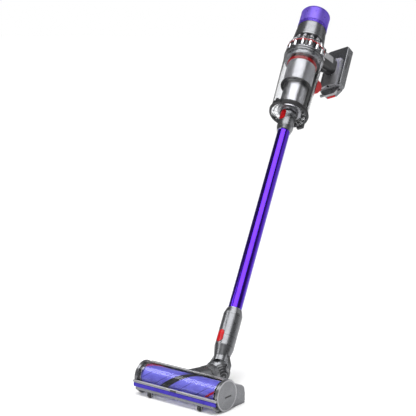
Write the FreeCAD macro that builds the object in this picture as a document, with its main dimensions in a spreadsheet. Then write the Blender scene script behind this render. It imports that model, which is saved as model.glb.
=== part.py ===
import FreeCAD, Part
import Sketcher
import math
import os
from FreeCAD import Placement, Rotation, Vector

# A cordless stick vacuum: cleaner head, swivelling neck, wand and hand-held cyclone unit.
#
# World frame: the origin lies on the floor under the middle of the head's rear glide pad,
# +X is along the brush roller, +Y points back towards the user, +Z is up, in millimetres.
#
# Wand frame: the origin is the centre of the neck's ball, z runs up the wand, y points to the
# battery side and x is the pitch hinge's axis.

doc = FreeCAD.newDocument("stick_vacuum")
sheet = doc.addObject("Spreadsheet::Sheet", "params")

DIMENSIONS = {
    # stance of the wand
    "lean_angle": 42.36, "roll_angle": 16.58, "ball_back": 81.5, "axle_height": 37.0,
    "running_gap": 0.05, "moving_gap": 0.4,
    # cleaner head
    "roller_back": -45.0, "wall_out": 121.0, "wall_in": 117.0,
    "cap_radius": 36.3, "chamber_radius": 33.0, "window_out": 35.7, "window_in": 33.6,
    "pile_radius": 29.0, "core_radius": 24.0, "core_bore": 20.5, "roller_half": 109.0, "stub_radius": 4.0,
    "duct_bore": 17.0, "swivel_radius": 20.0, "fairing_back": 33.4, "neck_radius": 25.0,
    "ball_radius": 31.0, "ball_bore": 27.5, "pivot_radius": 4.0, "arm_reach": 34.2,
    "wheel_radius": 6.0, "wheel_width": 8.0, "axle_radius": 1.5, "wheel_spread": 75.0,
    "felt_height": 9.3, "rail_height": 6.2,
    # wand
    "tube_radius": 17.5, "tube_wall": 1.2, "tube_low": 150.0, "tube_high": 775.0,
    "collar_radius": 24.5, "seam_low": 92.0, "sleeve_low_top": 172.7, "spigot_radius": 18.6,
    "sleeve_high_low": 755.0, "sleeve_high_top": 822.0, "sleeve_radius": 23.0,
    "button_width": 18.0, "button_length": 34.0, "button_low": 88.0, "button_high": 802.0,
    # dust bin and shroud
    "bin_floor": 819.0, "bin_radius": 53.0, "bin_top_radius": 57.5, "bin_wall": 2.05,
    "bin_top": 1022.0, "seal_radius": 55.5, "inlet_radius": 34.0, "shroud_radius": 41.0,
    "shroud_low": 924.0, "shroud_top": 996.5, "shroud_ring_height": 10.0,
    "skirt_radius": 44.5, "skirt_low": 901.0, "runner_out": 62.5, "runner_half": 8.0,
    "lip_radius": 58.5,
    # cyclones, motor and filter
    "collar_top": 1036.0, "cone_count": 14.0, "cone_ring": 51.0, "cone_lean": 19.5,
    "gasket_height": 1059.0, "motor_low": 1092.2, "motor_top": 1146.0, "motor_wide": 47.0,
    "motor_narrow": 43.0, "shaft_radius": 2.5, "filter_radius": 43.0, "filter_bore": 30.2,
    "filter_top": 1211.5,
    # handle and battery
    "grip_tilt": 14.4, "grip_width": 33.0, "grip_depth": 54.0, "grip_length": 92.0,
    "battery_in": 133.0, "battery_out": 159.0, "battery_half": 39.5, "battery_low": 1029.0,
    "battery_high": 1187.0, "battery_wall": 3.0, "cell_radius": 9.1, "cell_length": 65.0,
    "cell_count": 7.0, "nose_low": 1010.0, "nose_half": 17.0, "socket_radius": 2.75,
}


class Size:
    """A size that carries both its value and the sheet formula that it comes from."""

    def __init__(self, value, formula):
        self.value = value
        self.formula = formula

    def join(self, other, sign, value):
        return Size(value, "(%s %s %s)" % (self.formula, sign, other.formula))

    def __add__(self, other):
        other = size(other)
        return self.join(other, "+", self.value + other.value)

    def __sub__(self, other):
        other = size(other)
        return self.join(other, "-", self.value - other.value)

    def __mul__(self, other):
        other = size(other)
        return self.join(other, "*", self.value * other.value)

    def __neg__(self):
        return Size(-self.value, "(0 - %s)" % self.formula)

    __radd__ = __add__
    __rmul__ = __mul__

    def __rsub__(self, other):
        return size(other) - self


def size(value):
    return value if isinstance(value, Size) else Size(float(value), repr(float(value)))


class Driving:
    """The driving dimensions, each one readable as an attribute."""


dim = Driving()
for row, (alias, number) in enumerate(DIMENSIONS.items(), start=1):
    sheet.set("A%d" % row, alias)
    sheet.set("B%d" % row, str(number))
    sheet.setAlias("B%d" % row, alias)
    setattr(dim, alias, Size(number, "params." + alias))
doc.recompute()

pieces = []
TURNS = {
    "z": Rotation(),
    "x": Rotation(Vector(0, 1, 0), 90),
    "y": Rotation(Vector(1, 0, 0), -90),
}


# ---------------------------------------------------------------------- building blocks
def bind(obj, **values):
    """Sets each property, through the sheet where the value has a formula."""
    for name, value in values.items():
        obj.setExpression(name, size(value).formula)


def stand(obj, at, turn="z"):
    """Places a primitive at a point whose coordinates may be bound to the sheet."""
    rotation = TURNS[turn] if isinstance(turn, str) else turn
    obj.Placement = Placement(Vector(*[size(c).value for c in at]), rotation)
    for letter, value in zip("xyz", at):
        obj.setExpression("Placement.Base." + letter, size(value).formula)
    return obj


def box(low, high):
    """A block between two corners."""
    obj = doc.addObject("Part::Box", "block")
    spans = [size(b) - size(a) for a, b in zip(low, high)]
    bind(obj, Length=spans[0], Width=spans[1], Height=spans[2])
    return stand(obj, low)


def rod(radius, length, at, turn="z"):
    """A round bar that starts at a point and runs along an axis."""
    obj = doc.addObject("Part::Cylinder", "bar")
    bind(obj, Radius=radius, Height=length)
    return stand(obj, at, turn)


def cone(radius, end_radius, length, at, turn="z"):
    obj = doc.addObject("Part::Cone", "taper")
    bind(obj, Radius1=radius, Radius2=end_radius, Height=length)
    return stand(obj, at, turn)


def sphere(radius, at=(0, 0, 0)):
    obj = doc.addObject("Part::Sphere", "ball")
    bind(obj, Radius=radius)
    return stand(obj, at)


def fuse(*parts):
    obj = doc.addObject("Part::MultiFuse", "joined")
    obj.Shapes = list(parts)
    return obj


def cut(base, *tools):
    """Takes tools away from a base, one tool or several joined."""
    obj = doc.addObject("Part::Cut", "trimmed")
    obj.Base = base
    obj.Tool = tools[0] if len(tools) == 1 else fuse(*tools)
    return obj


def common(first, second):
    obj = doc.addObject("Part::MultiCommon", "shared")
    obj.Shapes = [first, second]
    return obj


def rounded(base, radius, wanted):
    """Fillets the edges that a test accepts, given each edge's direction and middle."""
    doc.recompute()
    obj = doc.addObject("Part::Fillet", "rounded")
    obj.Base = base
    chosen = []
    for number, edge in enumerate(base.Shape.Edges, start=1):
        middle = edge.valueAt((edge.FirstParameter + edge.LastParameter) / 2)
        along = edge.tangentAt(edge.FirstParameter)
        if wanted(along, middle):
            chosen.append((number, radius, radius))
    obj.Edges = chosen
    return obj


def along_axis(letter):
    """A test for straight edges that run along one axis."""
    return lambda along, middle: abs(getattr(along, letter)) > 0.999


def sketched_body(name, plane_role, points):
    """A body with one closed outline whose corners are all bound to the sheet."""
    body = doc.addObject("PartDesign::Body", name + "_body")
    sketch = body.newObject("Sketcher::SketchObject", name + "_outline")
    plane = [f for f in body.Origin.OriginFeatures if f.Role == plane_role][0]
    sketch.AttachmentSupport = [(plane, "")]
    sketch.MapMode = "FlatFace"
    corners = [(size(u), size(v)) for u, v in points]
    spots = [Vector(u.value, v.value, 0) for u, v in corners]
    count = len(spots)
    for i in range(count):
        sketch.addGeometry(Part.LineSegment(spots[i], spots[(i + 1) % count]))
    for i in range(count):
        sketch.addConstraint(Sketcher.Constraint("Coincident", i, 2, (i + 1) % count, 1))
    for i, (u, v) in enumerate(corners):
        for kind, value, axis in (("DistanceX", u, -2), ("DistanceY", v, -1)):
            if value.value == 0:
                sketch.addConstraint(Sketcher.Constraint("PointOnObject", i, 1, axis))
                continue
            where = sketch.addConstraint(
                Sketcher.Constraint(kind, -1, 1, i, 1, value.value))
            sketch.setExpression("Constraints[%d]" % where, value.formula)
    return body, sketch


def revolve(name, points):
    """A body turned about its z axis from an outline of (radius, height) points."""
    body, sketch = sketched_body(name, "XZ_Plane", points)
    turn = body.newObject("PartDesign::Revolution", name + "_turn")
    turn.Profile = sketch
    turn.ReferenceAxis = (sketch, ["V_Axis"])
    turn.Angle = 360
    return body


def ring(name, inner, outer, low, high):
    """A plain round tube or washer."""
    return revolve(name, [(inner, low), (outer, low), (outer, high), (inner, high)])


def prism(name, plane, points, start, end):
    """A body padded from an outline, between two places along the plane's normal."""
    body, sketch = sketched_body(name, plane + "_Plane", points)
    pad = body.newObject("PartDesign::Pad", name + "_pad")
    pad.Profile = sketch
    pad.Reversed = plane == "XZ"
    bind(pad, Length=size(end) - size(start))
    letter = {"XY": "z", "XZ": "y", "YZ": "x"}[plane]
    body.setExpression("Placement.Base." + letter, size(start).formula)
    return body


def make(name, obj, frame):
    """Names a finished piece and moves it from its own frame into the world."""
    doc.recompute()
    local = obj.Placement
    for path, _ in list(obj.ExpressionEngine):
        if "Placement" in path:
            obj.setExpression(path.lstrip("."), None)
    obj.Placement = frame.multiply(local)
    obj.Label = name
    pieces.append(obj)
    return obj


# ---------------------------------------------------------------------- frames
def wand_frames():
    roll = Rotation(Vector(0, 1, 0), -dim.roll_angle.value)
    lean = Rotation(Vector(1, 0, 0), -dim.lean_angle.value)
    ball = Vector(0, dim.ball_back.value, dim.axle_height.value)
    return Placement(ball, roll), Placement(ball, roll.multiply(lean))


WORLD = Placement()
HEAD = Placement(Vector(0, dim.roller_back.value, dim.axle_height.value), Rotation())
ROLLER = HEAD.multiply(Placement(Vector(), TURNS["x"]))
NECK, WAND = wand_frames()
GRIP = WAND.multiply(Placement(
    Vector(0, 46, 1081), Rotation(Vector(1, 0, 0), -(90 - dim.grip_tilt.value))))


# ---------------------------------------------------------------------- cleaner head
def fairing_shell(grow=0.0):
    """The solid outline of the fairing over the swivel, from the window back to the neck."""
    sections = []
    for radius, back, up in ((20.5, 17.0, 12.3), (25.6, 78.4, 0.0)):
        edge = doc.addObject("Part::Circle", "section")
        bind(edge, Radius=size(radius + grow))
        stand(edge, (0, back, up), "y")
        sections.append(edge)
    obj = doc.addObject("Part::Loft", "fairing_loft")
    obj.Sections = sections
    obj.Solid = True
    return obj


def chamber(radius, half):
    """The round space along the roller axis."""
    return rod(radius, size(half) * 2, (-size(half), 0, 0), "x")


def build_head_shells():
    profile = [(0, 0), (23.2, 29.2), (29, 22.8), (39.5, 15), (61.5, 7.8), (70.5, 0.1),
               (72.9, -12), (74.3, -12.2), (74.3, -31), (72, -33.4), (14, -33.4)]
    walls = prism("housing", "YZ", profile, -dim.wall_out, dim.wall_out)
    ends = [rod(dim.cap_radius - 0.3, dim.wall_out - dim.wall_in, (x, 0, 0), "x")
            for x in (-dim.wall_out, dim.wall_in)]
    hollow = [(35, 14), (52, 8), (61, 5), (68, -1), (70, -12), (71, -30), (24, -30),
              (36, -6)]
    cavities = [prism("cavity", "YZ", hollow, low, high)
                for low, high in ((-114, -28), (28, 114))]
    housing = cut(fuse(walls, *ends), chamber(dim.chamber_radius, dim.wall_in),
                  fairing_shell(), rod(20.4, 10, (dim.wall_in - 1, 0, 0), "x"),
                  rod(dim.duct_bore, 80, (0, 20, 0), "y"), *cavities)
    make("head_housing", housing, HEAD)

    cover = [(24, 30.6), (30, 24), (40, 16.2), (62, 8.9), (71.6, 0.8), (74.1, -11.8),
             (73, -11.9), (70.6, 0.2), (61.6, 7.9), (39.6, 15.1), (29.1, 22.9), (23.3, 29.3)]
    trim = prism("top_cover", "YZ", cover, -dim.wall_out, dim.wall_out)
    make("head_top_cover", cut(trim, fairing_shell(0.1)), HEAD)

    fairing = cut(fairing_shell(), chamber(dim.chamber_radius + 0.1, dim.wall_in),
                  rod(dim.duct_bore, 80, (0, 10, 0), "y"),
                  rod(dim.swivel_radius, 30, (0, 55, 0), "y"))
    make("neck_fairing", fairing, HEAD)


def chamber_arc(name, inner, outer, wedge):
    """A curved strip about the roller, kept where it lies inside a wedge outline."""
    half = dim.wall_in - 0.3
    shell = cut(chamber(outer, half), chamber(inner, half))
    return common(shell, prism(name, "YZ", wedge, -half, half))


def build_head_front():
    window = chamber_arc("window", dim.window_in, dim.window_out,
                         [(0, 0), (-60, -3), (-60, 60), (30.5, 60)])
    make("head_window", window, HEAD)
    strip = chamber_arc("window_trim", dim.window_in, dim.window_out + 1.2,
                        [(0, 0), (30.9, 60), (47.6, 60)])
    make("window_trim", cut(strip, fairing_shell(0.1)), HEAD)
    bar = box((-124, -42.5, -7.5), (124, -36.8, -1))
    make("front_bar", rounded(bar, 2.6, along_axis("x")), HEAD)
    felt_low = -7.7 - dim.felt_height
    felt = box((-123, -42, felt_low), (123, -37.3, -7.7))
    make("felt_strip", rounded(felt, 1.0, along_axis("x")), HEAD)

    rail_low = felt_low - 0.2 - dim.rail_height
    plate = box((-dim.wall_out, 16, -36.4), (dim.wall_out, 73, -33.6))
    front_rail = box((-117, -41.5, rail_low), (117, -34, felt_low - 0.2))
    runner = [(-41.5, felt_low - 0.2), (-41.5, rail_low), (-24, -36.4), (16.5, -36.4),
              (16.5, -33.6), (-16, -33.6), (-36, felt_low - 0.2)]
    skids = [prism("skid", "YZ", runner, x, x + 5) for x in (-117, 112)]
    pads = [box((x, -22, -37), (x + 5, -8, -36)) for x in (-117, 112)]
    pads.append(box((-20, 39, -37), (20, 51, -36)))
    forks = []
    for side in (-1, 1):
        for edge in (-7.4, 4.9):
            x = dim.wheel_spread * side + edge
            forks.append(box((x, -39.5, -34), (x + 2.5, -34.5, rail_low + 0.5)))
    axle_holes = [rod(dim.axle_radius, 22, (dim.wheel_spread * side - 11, -37, -31), "x")
                  for side in (-1, 1)]
    screws = sole_screws(0.0)
    solid = fuse(plate, front_rail, *(skids + pads + forks))
    make("sole_plate", cut(solid, *(axle_holes + screws)), HEAD)
    make("sole_screws", fuse(*sole_screws(0.05)), HEAD)


def sole_screws(slack):
    """Four countersunk screws up through the sole, or the holes for them."""
    bars = []
    for x in (-100, 100):
        for y in (24, 66):
            bars.append(rod(2.8 - slack, 1.6 - 2 * slack, (x, y, -36.4 + slack)))
            bars.append(rod(1.5 - slack, 1.8 - slack, (x, y, -35.2)))
    return bars


def build_wheels():
    for name, side in (("wheel_left", -1), ("wheel_right", 1)):
        start = dim.wheel_spread * side - dim.wheel_width * 0.5
        tread = rounded(rod(dim.wheel_radius, dim.wheel_width, (start, -37, -31), "x"), 1.2,
                        lambda along, middle: True)
        bore = rod(dim.axle_radius + dim.running_gap, 20, (start - 5, -37, -31), "x")
        make(name, cut(tread, bore), HEAD)
    axles = [rod(dim.axle_radius, 14.4, (dim.wheel_spread * side - 7.2, -37, -31), "x")
             for side in (-1, 1)]
    make("wheel_axles", fuse(*axles), HEAD)


def build_roller():
    half = dim.roller_half
    core = revolve("roller_core", [
        (dim.core_bore, -half), (dim.core_radius, -half), (dim.core_radius, half),
        (dim.stub_radius, half), (dim.stub_radius, half + 8), (0, half + 8), (0, half - 4),
        (dim.core_bore, half - 4),
        (dim.core_bore, 6), (3.05, 6), (3.05, 2), (dim.core_bore, 2)])
    make("roller_core", core, ROLLER)
    pile = rounded(cut(chamber(dim.pile_radius, half), chamber(dim.core_radius, half + 1)),
                   2.0, lambda along, middle: math.hypot(middle.y, middle.z) > 28)
    make("roller_pile", pile, HEAD)
    motor = revolve("roller_motor", [
        (0, -116.9), (32, -116.9), (32, -111), (19, -111), (17, -108), (17, -12), (9, -10),
        (9, -4), (3, -4), (3, 6), (0, 6)])
    make("roller_motor", motor, ROLLER)
    disc = revolve("end_cap_right", [
        (0, 121.4), (dim.cap_radius, 121.4), (dim.cap_radius, 124), (dim.cap_radius - 1, 125),
        (0, 125)])
    slot = box((1.6, -8, 123.2), (5.6, 16, 126))
    make("end_cap_right", cut(disc, slot), ROLLER)
    bore = dim.stub_radius + dim.running_gap
    bearing = revolve("roller_bearing", [
        (bore, 112), (20, 112), (20, 121.3), (0, 121.3), (0, 118.2), (bore, 118.2)])
    make("roller_bearing", bearing, ROLLER)
    left = revolve("end_cap_left", [
        (0, -125), (dim.cap_radius - 1, -125), (dim.cap_radius, -124),
        (dim.cap_radius, -121.1), (0, -121.1)])
    make("end_cap_left", left, ROLLER)


# ---------------------------------------------------------------------- neck
def build_neck():
    ball = dim.ball_back
    start = dim.fairing_back + 0.5 - ball
    pipe = fuse(rod(dim.neck_radius, size(26), (0, start, 0), "y"),
                rod(dim.swivel_radius - dim.running_gap, 20, (0, start - 19.5, 0), "y"),
                sphere(dim.ball_radius))
    bores = [rod(dim.duct_bore, 60, (0, -75, 0), "y"), sphere(dim.ball_bore)]
    window = [box((-25, 4, -40), (25, 40, 12)), box((-17, -12, 10), (17, 40, 40))]
    pins = rod(dim.pivot_radius + dim.running_gap, 80, (-40, 0, 0), "x")
    clear = [box((x, -20, -20), (x + 20, 20, 20)) for x in (-51.2, 31.2)]
    make("neck_duct", cut(pipe, pins, *(bores + window + clear)), NECK)

    ribs = [sphere(dim.ball_bore - 3.0)]
    for step in range(6):
        tilt = Rotation(Vector(1, 0, 0), -90 + 12 * step - 12)
        rib = doc.addObject("Part::Cylinder", "rib")
        bind(rib, Radius=dim.ball_bore - 0.6, Height=size(2.6))
        stand(rib, (0, 0, 0), tilt)
        ribs.append(rib)
    inside = common(fuse(*ribs), sphere(dim.ball_bore - 0.3))
    make("neck_hose", cut(inside, rod(12, 80, (0, -40, 0), "y")), NECK)


def build_yoke():
    cup = revolve("head_collar_cup", [
        (14.5, 24), (19.2, 24), (19.2, 37), (dim.collar_radius, 65),
        (dim.collar_radius, dim.seam_low - 0.2), (dim.spigot_radius, dim.seam_low - 0.2),
        (dim.spigot_radius, 140), (14.5, 140)])
    reach = dim.arm_reach
    arms = prism("head_collar_arms", "XZ", [
        (-reach, 0), (-reach, 16), (-20, 44), (20, 44), (reach, 16), (reach, 0)], -6.5, 6.5)
    discs = rod(7.5, reach * 2, (-reach, 0, 0), "x")
    bores = [sphere(dim.ball_radius + dim.moving_gap), rod(14.5, 70, (0, 0, 0)),
             box((-31.6, -30, -30), (31.6, 30, 14)),
             rod(dim.pivot_radius, 80, (-40, 0, 0), "x"), pocket(dim.button_low)]
    make("head_collar", cut(fuse(cup, arms, discs), *bores), WAND)
    pins = [rod(dim.pivot_radius, 6, (x, 0, 0), "x") for x in (-34, 28)]
    make("pivot_pins", fuse(*pins), WAND)


# ---------------------------------------------------------------------- wand
def pocket(centre):
    """The oval recess that a release button sits in, on the front of a sleeve."""
    half = dim.button_length * 0.5 + 0.35
    side = dim.button_width * 0.5 + 0.35
    block = box((-side, -30, centre - half), (side, -19.3, centre + half))
    return rounded(block, side.value - 0.1, along_axis("y"))


def release_button(name, centre, radius):
    half = dim.button_length * 0.5
    side = dim.button_width * 0.5
    block = box((-side, -30, centre - half), (side, -21.6, centre + half))
    oval = rounded(block, side.value - 0.1, along_axis("y"))
    face = rod(size(radius) + 1.0, dim.button_length + 10, (0, 0, centre - half - 5))
    make(name, common(oval, face), WAND)


def build_wand():
    make("wand_tube", ring("wand_tube", dim.tube_radius - dim.tube_wall, dim.tube_radius,
                           dim.tube_low, dim.tube_high), WAND)
    bore = dim.tube_radius + 0.02
    socket = dim.spigot_radius + 0.1
    low = revolve("wand_lower_sleeve", [
        (socket, dim.seam_low), (dim.collar_radius, dim.seam_low), (dim.collar_radius, 158),
        (20.3, dim.sleeve_low_top), (bore, dim.sleeve_low_top), (bore, dim.tube_low),
        (16.4, dim.tube_low), (16.4, 146), (socket, 146)])
    make("wand_lower_sleeve", cut(low, pocket(dim.button_low)), WAND)
    high = revolve("wand_upper_sleeve", [
        (bore, dim.sleeve_high_low), (20, dim.sleeve_high_low), (dim.sleeve_radius, 768),
        (dim.sleeve_radius, dim.sleeve_high_top), (socket, dim.sleeve_high_top),
        (socket, 779), (16.4, 779), (16.4, dim.tube_high), (bore, dim.tube_high)])
    make("wand_upper_sleeve", cut(high, pocket(dim.button_high)), WAND)
    release_button("head_release_button", dim.button_low, dim.collar_radius)
    release_button("wand_release_button", dim.button_high, dim.sleeve_radius)


# ---------------------------------------------------------------------- dust bin
def build_bin():
    inlet = revolve("inlet_duct", [
        (15.5, 781), (dim.spigot_radius, 781), (dim.spigot_radius, dim.sleeve_high_top + 0.2),
        (dim.sleeve_radius, dim.sleeve_high_top + 0.2), (dim.sleeve_radius, 827),
        (dim.inlet_radius, 827),
        (dim.inlet_radius, dim.shroud_low - 0.1), (dim.inlet_radius - 2.5, dim.shroud_low - 0.1),
        (dim.inlet_radius - 2.5, 829.5), (20.5, 829.5), (15.5, 820)])
    make("inlet_duct", inlet, WAND)
    floor = dim.bin_floor
    flap = revolve("bin_base", [
        (23.4, floor), (50.4, floor), (50.4, floor + 4), (46, floor + 4), (44, floor + 7),
        (42, floor + 4), (23.4, floor + 4)])
    make("bin_base", flap, WAND)
    seal = revolve("bin_seal", [
        (50.5, floor - 1.5), (54.6, floor - 1.5), (dim.seal_radius, floor + 2),
        (dim.seal_radius, floor + 7), (54.6, floor + 11), (dim.bin_radius + 0.25, floor + 11),
        (dim.bin_radius + 0.25, floor + 5.4), (50.5, floor + 5.4)])
    make("bin_seal", seal, WAND)
    low, top, wall = floor + 5.5, dim.bin_top, dim.bin_wall
    cylinder = revolve("bin_cylinder", [
        (dim.bin_radius - wall, low), (dim.bin_radius, low), (dim.bin_top_radius, top),
        (dim.bin_top_radius - wall, top)])
    make("bin_cylinder", cylinder, WAND)

    half = dim.runner_half
    rail = fuse(box((-half, 50, 831), (half, dim.runner_out, top - 0.5)),
                box((-10, 54, 814), (10, 63, 835)))
    room = 0.15
    channel = [rod(dim.bin_radius + room, 14.6, (0, 0, 810)),
               cone(dim.bin_radius + room, dim.bin_top_radius + room, top - low, (0, 0, low)),
               rod(dim.seal_radius + 0.1, 18, (0, 0, 813)),
               box((-3, 57.3, 838), (3, 70, 1014))]
    make("bin_runner", cut(rail, *channel), WAND)
    paddle = prism("paddle", "YZ", [
        (63, 957), (68, 953), (82, 962), (94, 984), (94, 996), (86, 1006), (63, 1006)], -9, 9)
    paddle = rounded(paddle, 1.6, along_axis("x"))
    push_rod = box((-2.4, 57.6, 852), (2.4, 61, 1006))
    foot = box((-2.4, 60, 962), (2.4, 64.5, 1004))
    make("bin_release_lever", fuse(paddle, push_rod, foot), WAND)


def build_shroud():
    skirt = revolve("shroud_skirt", [
        (34.2, dim.shroud_low), (dim.shroud_radius, dim.shroud_low),
        (dim.skirt_radius, dim.skirt_low), (dim.skirt_radius - 1.9, dim.skirt_low),
        (39.4, dim.shroud_low - 4.5), (34.2, dim.shroud_low - 4.5)])
    make("shroud_skirt", skirt, WAND)
    make("shroud_mesh", ring("shroud_mesh", dim.shroud_radius - 2, dim.shroud_radius,
                             dim.shroud_low + 0.1, dim.shroud_top - 0.1), WAND)
    ring_top = dim.shroud_top + dim.shroud_ring_height
    make("shroud_ring", ring("shroud_ring", 36, dim.shroud_radius + 1.5, dim.shroud_top,
                             ring_top), WAND)
    top, plug, lip = dim.bin_top, dim.bin_top_radius - dim.bin_wall - 0.4, dim.lip_radius
    collar = revolve("bin_collar", [
        (36, ring_top + 0.2), (52, ring_top + 2), (plug, ring_top + 5), (plug, top + 0.2),
        (lip, top + 0.2), (lip, top + 4), (lip - 2, top + 5.2), (lip - 2, top + 7.2),
        (lip, top + 8.4), (lip, top + 11.5), (lip - 4.3, dim.collar_top),
        (36, dim.collar_top)])
    make("bin_collar", collar, WAND)


# ---------------------------------------------------------------------- cyclones and motor
def cone_ring(radius, end_radius, low, high, inward):
    """The ring of cyclones, each leaning towards the axis by a few degrees."""
    cones = []
    count = int(dim.cone_count.value)
    for i in range(count):
        turn = Rotation(Vector(0, 0, 1), 360.0 * (i + 0.5) / count)
        lean = turn.multiply(Rotation(Vector(0, 1, 0), -inward))
        foot = turn.multVec(Vector(dim.cone_ring.value, 0, 0))
        cones.append(cone(radius, end_radius, size(high) - size(low),
                          (foot.x, foot.y, low), lean))
    return cones


def build_cyclones():
    low, split = dim.collar_top + 0.2, dim.gasket_height
    core = revolve("cyclone_core", [
        (20, low), (54, low), (54, low + 3), (46, low + 5), (44, split - 1), (27, split - 1),
        (27, low + 8), (20, low + 8)])
    lumps = cone_ring(7.6, 6.6, low + 2, split - 1.2, 0)
    make("cyclone_lower", fuse(core, *lumps), WAND)
    make("cyclone_gasket", ring("cyclone_gasket", 36, 57, split - 0.9, split + 0.9), WAND)
    base, peak = split + 1, dim.motor_low - 0.3
    shell = revolve("cyclone_shell", [(38, base), (49, base), (38, peak), (33, peak)])
    cones = cone_ring(7.4, 5.2, base, peak + 1, dim.cone_lean.value)
    upper = common(fuse(shell, *cones), rod(62, peak - base, (0, 0, base)))
    make("cyclone_upper", upper, WAND)


def build_motor():
    low, top, skin = dim.motor_low, dim.motor_top, 3.4
    wide, narrow = dim.motor_wide, dim.motor_narrow
    wall = revolve("motor_housing", [
        (32, low), (wide, low), (wide, low + 7), (narrow, top), (33, top), (33, top - 3.5),
        (narrow - skin, top - 3.5), (wide - skin, low + 7), (wide - skin, low + 3),
        (32, low + 3)])
    make("motor_housing", wall, WAND)
    seats = (low - 6.2, low + 36.3)
    frame = revolve("motor_frame", [
        (7.0, seats[0]), (31.5, seats[0]), (31.5, low + 41.8), (7.0, low + 41.8),
        (7.0, low + 35.8), (28.2, low + 35.8), (28.2, low - 1), (7.0, low - 1)])
    make("motor_frame", frame, WAND)
    make("motor_stator", ring("motor_stator", 12, 28.1, low + 3.8, low + 33.8), WAND)
    shaft = dim.shaft_radius
    races = [cut(rod(6.9, 5, (0, 0, z)), rod(shaft + dim.running_gap, 8, (0, 0, z - 1)))
             for z in seats]
    make("motor_bearings", fuse(*races), WAND)
    rotor = revolve("motor_rotor", [
        (0, low - 30.2), (shaft, low - 30.2), (shaft, low + 4.8), (8, low + 6.8),
        (8, low + 30.8), (shaft, low + 32.8), (shaft, low + 43.8), (0, low + 43.8)])
    make("motor_rotor", rotor, WAND)
    wheel = low - 28.2
    hub = revolve("impeller_hub", [
        (shaft + 0.01, wheel), (7, wheel), (24, wheel + 16), (24, wheel + 18),
        (shaft + 0.01, wheel + 18)])
    blades = []
    for i in range(9):
        turn = Rotation(Vector(0, 0, 1), 40.0 * i)
        blade = doc.addObject("Part::Box", "blade")
        blade.Placement = Placement(turn.multVec(Vector(5, -0.6, wheel.value + 2)), turn)
        bind(blade, Length=size(18), Width=size(1.2), Height=size(15))
        blades.append(blade)
    make("motor_impeller", fuse(hub, *blades), WAND)


def build_filter():
    radius, bore, top = dim.filter_radius, dim.filter_bore, dim.filter_top
    joint = dim.motor_top
    low = joint + 0.4
    shell = revolve("filter_shell", [
        (bore, low), (radius + 0.5, low), (radius + 0.5, low + 6.8), (radius, low + 7.8),
        (radius, top - 7), (radius - 1.2, top - 3.6), (radius - 3.6, top - 1.2),
        (radius - 7, top), (bore + 1.3, top), (bore, top - 1), (bore, low + 11.8),
        (bore + 1.4, low + 11.8), (bore + 1.4, top - 3), (radius - 6.5, top - 3),
        (radius - 1.8, top - 8), (radius - 1.8, low + 7.8), (bore, low + 7.8)])
    make("filter_shell", shell, WAND)
    media = ring("filter_media", bore + 1.8, radius - 2.2, low + 8.1, top - 9)
    make("filter_media", media, WAND)
    holder = revolve("display_housing", [
        (0, joint - 3.4), (32.6, joint - 3.4), (32.6, joint - 0.2), (29.3, joint - 0.2),
        (29.3, top - 3), (26, top - 3), (26, top - 6), (0, top - 6)])
    well = rod(4.4, 12, (0, -19.5, top - 12))
    make("display_housing", cut(holder, well), WAND)
    lens = cut(rod(25.8, 4, (0, 0, top - 6)), rod(4.4, 12, (0, -19.5, top - 9)))
    make("display_lens", lens, WAND)
    button = rod(4.0, 7, (0, -19.5, top - 8))
    make("mode_button", button, WAND)


# ---------------------------------------------------------------------- handle and battery
def spine_block(grow=0.0):
    """The raised keel on the battery's inner face, sloped at both ends."""
    top = dim.battery_in - 10 - grow
    side = 26 + grow
    keel = prism("keel", "XY", [
        (-side, dim.battery_in - 0.1), (-side, dim.battery_in - 5 - grow), (-9, top), (9, top),
        (side, dim.battery_in - 5 - grow), (side, dim.battery_in - 0.1)], 1031, 1137 + grow)
    return keel


def build_handle():
    half = dim.grip_width * 0.5
    deep = dim.grip_depth * 0.5
    block = box((-half, -deep, 2), (half, deep, dim.grip_length))
    core = rounded(block, 12.0, along_axis("z"))
    inside = box((-12, -18, 14), (12, 9, 80))
    trigger_well = box((-8.4, 8, 15), (8.4, 40, 46))
    panels = [box((x, -24, 18), (x + 2, -3, 64)) for x in (-17, 15)]
    hollows = fuse(inside, trigger_well, *panels)
    for obj in (core, hollows):
        obj.Placement = WAND.inverse().multiply(GRIP)
    saddle = box((-18, 40, 1048), (18, 64, 1120))
    keep_out = [rod(dim.lip_radius + 1.3, 78, (0, 0, 1015)),
                rod(dim.motor_wide + 0.3, 70, (0, 0, dim.motor_low)),
                box((-60, 132.8, 1000), (60, 200, 1250)), spine_block(0.1)]
    tip = rod(61.5, 40, (0, 0, 1000))
    body = fuse(core, rounded(saddle, 5.0, along_axis("y")))
    handle = cut(body, tip, hollows, *keep_out)
    make("handle_grip", handle, WAND)
    plates = [rounded(box((x, -23.8, 18.2), (x + 2, -3.2, 63.8)), 0.7, along_axis("z"))
              for x in (-17, 15)]
    make("grip_panels", fuse(*plates), GRIP)
    lever = rounded(box((-8, 14, 15.5), (8, 31, 45.5)), 3.0, along_axis("x"))
    make("trigger", lever, GRIP)
    make("control_board", box((-10, -9, 16), (10, -7.4, 78)), GRIP)


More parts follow.
